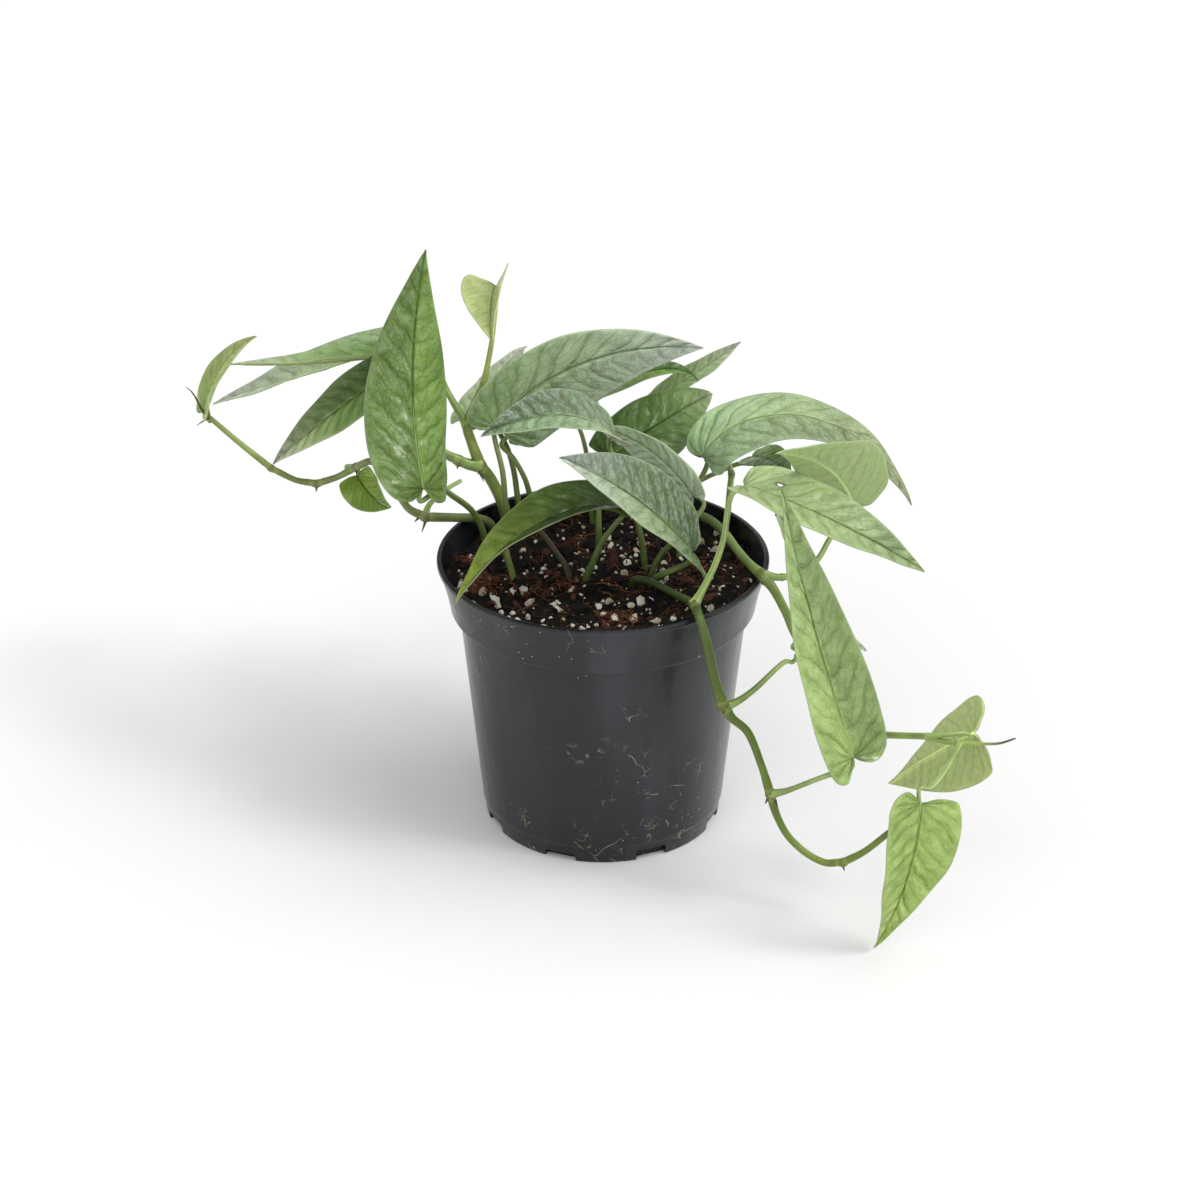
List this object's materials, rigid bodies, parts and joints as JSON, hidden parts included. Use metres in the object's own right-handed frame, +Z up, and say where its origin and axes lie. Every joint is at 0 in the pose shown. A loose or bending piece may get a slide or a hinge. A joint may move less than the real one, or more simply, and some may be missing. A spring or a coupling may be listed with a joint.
{
  "type": "potted cebu blue pothos plant",
  "caption": "Trailing cebu blue pothos with narrow silvery blue-green leaves and young heart-shaped leaves, in a round black plastic nursery pot filled with potting mix.",
  "frame": {"origin": "centre of the pot's round foot, on the surface that it stands on", "axes": "+Z up along the pot's axis; -Y towards the viewer; the long vines trail to +X and -Y, and the left-hand vine to -X"},
  "size_m": [0.3673, 0.2797, 0.256],
  "materials": {
    "black_plastic": "satin",
    "potting_mix": "matte",
    "green_stem": "satin",
    "blue_green_leaf": "satin",
    "light_green_leaf": "satin",
    "deep_green_leaf": "satin"
  },
  "bodies": {
    "root": {"leaf_back_edge": "deep_green_leaf", "leaf_back_left": "blue_green_leaf", "leaf_back_slender": "blue_green_leaf", "leaf_centre_back": "blue_green_leaf", "leaf_centre_dark": "deep_green_leaf", "leaf_centre_silver": "blue_green_leaf", "leaf_centre_under": "deep_green_leaf", "leaf_far_left_edge": "deep_green_leaf", "leaf_far_left_pale": "blue_green_leaf", "leaf_far_right_heart": "light_green_leaf", "leaf_front_drooping": "blue_green_leaf", "leaf_front_silver": "blue_green_leaf", "leaf_left_drooping": "blue_green_leaf", "leaf_left_small_heart": "light_green_leaf", "leaf_left_tip_young": "light_green_leaf", "leaf_low_right_heart": "light_green_leaf", "leaf_right_arching": "blue_green_leaf", "leaf_right_back_small": "deep_green_leaf", "leaf_right_dark_small": "deep_green_leaf", "leaf_right_folded": "light_green_leaf", "leaf_right_hanging": "light_green_leaf", "leaf_right_hidden": "deep_green_leaf", "leaf_right_light": "light_green_leaf", "leaf_top_large": "blue_green_leaf", "leaf_top_young": "light_green_leaf", "leaf_upright_left": "blue_green_leaf", "pot": "black_plastic", "soil": "potting_mix", "stalk_back_edge": "green_stem", "stalk_back_left": "green_stem", "stalk_back_slender": "green_stem", "stalk_centre_back": "green_stem", "stalk_centre_dark": "green_stem", "stalk_centre_silver": "green_stem", "stalk_centre_under": "green_stem", "stalk_front_drooping": "green_stem", "stalk_front_silver": "green_stem", "stalk_right_arching": "green_stem", "stalk_right_dark_small": "green_stem", "stalk_top_large": "green_stem", "stalk_upright_left": "green_stem", "stem_back_right": "green_stem", "stem_left_tall": "green_stem", "stem_runner": "green_stem", "stem_stub": "green_stem", "vine_back_right": "green_stem", "vine_front_right": "green_stem", "vine_left": "green_stem"}
  },
  "joints": []
}
